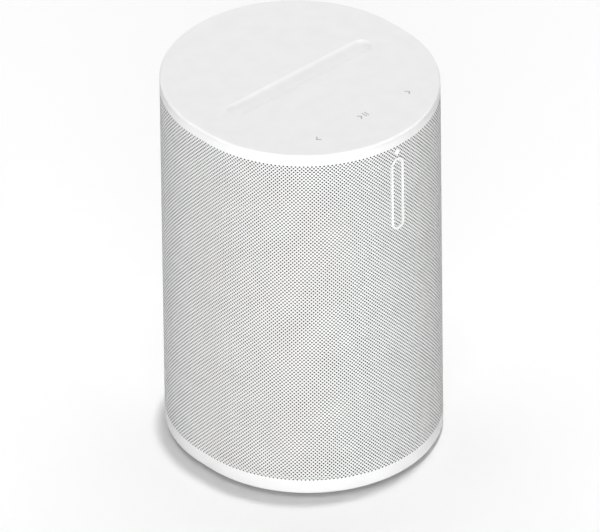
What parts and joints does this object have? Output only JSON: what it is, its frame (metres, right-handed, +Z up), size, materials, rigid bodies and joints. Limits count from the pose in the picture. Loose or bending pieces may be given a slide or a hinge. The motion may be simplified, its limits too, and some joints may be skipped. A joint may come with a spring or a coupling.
{
  "type": "smart speaker",
  "caption": "Compact upright smart speaker with an oblong plan, a perforated white sleeve, a touch panel with a volume trough on top and a recessed connector panel at the rear.",
  "frame": {"origin": "middle of the foot ring, on the surface that the speaker stands on", "axes": "+Z up; -Y towards the front, where the status light is; +X to the right for someone facing the front"},
  "size_m": [0.12, 0.1279, 0.184],
  "materials": {
    "shell_white": "fine matte moulded plastic",
    "control_white": "satin moulded plastic",
    "icon_grey": "satin inlay",
    "light_pipe": "frosted clear plastic",
    "liner_cloth": "acoustic cloth",
    "base_grey": "fine matte moulded plastic",
    "foot_rubber": "soft matte silicone",
    "steel": "zinc-plated steel",
    "pin_metal": "nickel-plated",
    "black_plastic": "matte moulded plastic",
    "circuit_board": "solder-masked glass laminate",
    "copper": "copper",
    "seal_rubber": "soft rubber",
    "foam": "open foam",
    "cone_paper": "coated paper",
    "spider_cloth": "resin-dipped cloth",
    "ferrite": "sintered ferrite",
    "dome_metal": "thin formed metal",
    "motor_metal": "plated motor cup",
    "aluminium": "extruded aluminium",
    "sleeve_black": "shrink sleeve",
    "lead_red": "insulated wire"
  },
  "bodies": {
    "root": {"top_cap": "shell_white", "touch_icons": "icon_grey", "badge_ring": "shell_white", "status_light_pipe": "light_pipe", "grille_sleeve": "shell_white", "grille_liner": "liner_cloth", "base_tray": "base_grey", "foot_ring": "foot_rubber", "base_screws": "steel", "rear_panel": "base_grey", "usb_c_shell": "steel", "usb_c_tongue": "black_plastic", "power_inlet": "black_plastic", "power_pins": "pin_metal", "io_board": "circuit_board", "tact_switch": "black_plastic", "slide_switch": "black_plastic", "top_frame": "black_plastic", "touch_board": "circuit_board", "microphones": "steel", "antennas": "copper", "woofer_box_front": "black_plastic", "woofer_box_rear": "black_plastic", "woofer_box_seal": "seal_rubber", "woofer_box_screws": "steel", "damping_pad": "foam", "woofer_basket": "black_plastic", "woofer_gasket": "seal_rubber", "woofer_surround": "seal_rubber", "woofer_spider": "spider_cloth", "woofer_top_plate": "steel", "woofer_magnet": "ferrite", "woofer_yoke": "steel", "woofer_screws": "steel", "woofer_terminals": "copper", "tweeter_carrier": "black_plastic", "tweeter_left_waveguide": "black_plastic", "tweeter_left_motor": "motor_metal", "tweeter_right_waveguide": "black_plastic", "tweeter_right_motor": "motor_metal", "tweeter_surrounds": "seal_rubber", "tweeter_screws": "steel", "main_board": "circuit_board", "processor_shield": "steel", "heat_sink": "aluminium", "power_board": "circuit_board", "transformer": "ferrite", "capacitor": "sleeve_black", "choke": "copper", "board_screws": "steel", "woofer_leads": "lead_red", "tweeter_leads": "lead_red", "touch_flex": "copper"},
    "pair_button": {"pair_button": "control_white"},
    "mic_switch": {"mic_switch": "control_white"},
    "woofer_cone": {"woofer_cone": "cone_paper", "woofer_dust_cap": "cone_paper", "woofer_voice_coil": "copper"},
    "tweeter_left_dome": {"tweeter_left_dome": "dome_metal"},
    "tweeter_right_dome": {"tweeter_right_dome": "dome_metal"}
  },
  "joints": [
    {"name": "pair_button_press", "type": "slide", "parent": "root", "child": "pair_button", "axis": [0, -1, 0], "range_m": [0, 0.0006], "stiffness_N_per_m": 2500, "springref_m": -0.0002},
    {"name": "mic_switch_slide", "type": "slide", "parent": "root", "child": "mic_switch", "axis": [0, 0, 1], "range_m": [0, 0.0028]},
    {"name": "woofer_cone_travel", "type": "slide", "parent": "root", "child": "woofer_cone", "axis": [0, -1, 0], "range_m": [-0.004, 0.004], "stiffness_N_per_m": 1200, "deforming": ["woofer_surround", "woofer_spider"]},
    {"name": "tweeter_left_travel", "type": "slide", "parent": "root", "child": "tweeter_left_dome", "axis": [-0.6428, -0.766, 0], "range_m": [-0.0003, 0.0003], "stiffness_N_per_m": 60, "deforming": ["tweeter_surrounds"]},
    {"name": "tweeter_right_travel", "type": "slide", "parent": "root", "child": "tweeter_right_dome", "axis": [0.6428, -0.766, 0], "range_m": [-0.0003, 0.0003], "stiffness_N_per_m": 60, "deforming": ["tweeter_surrounds"]}
  ]
}
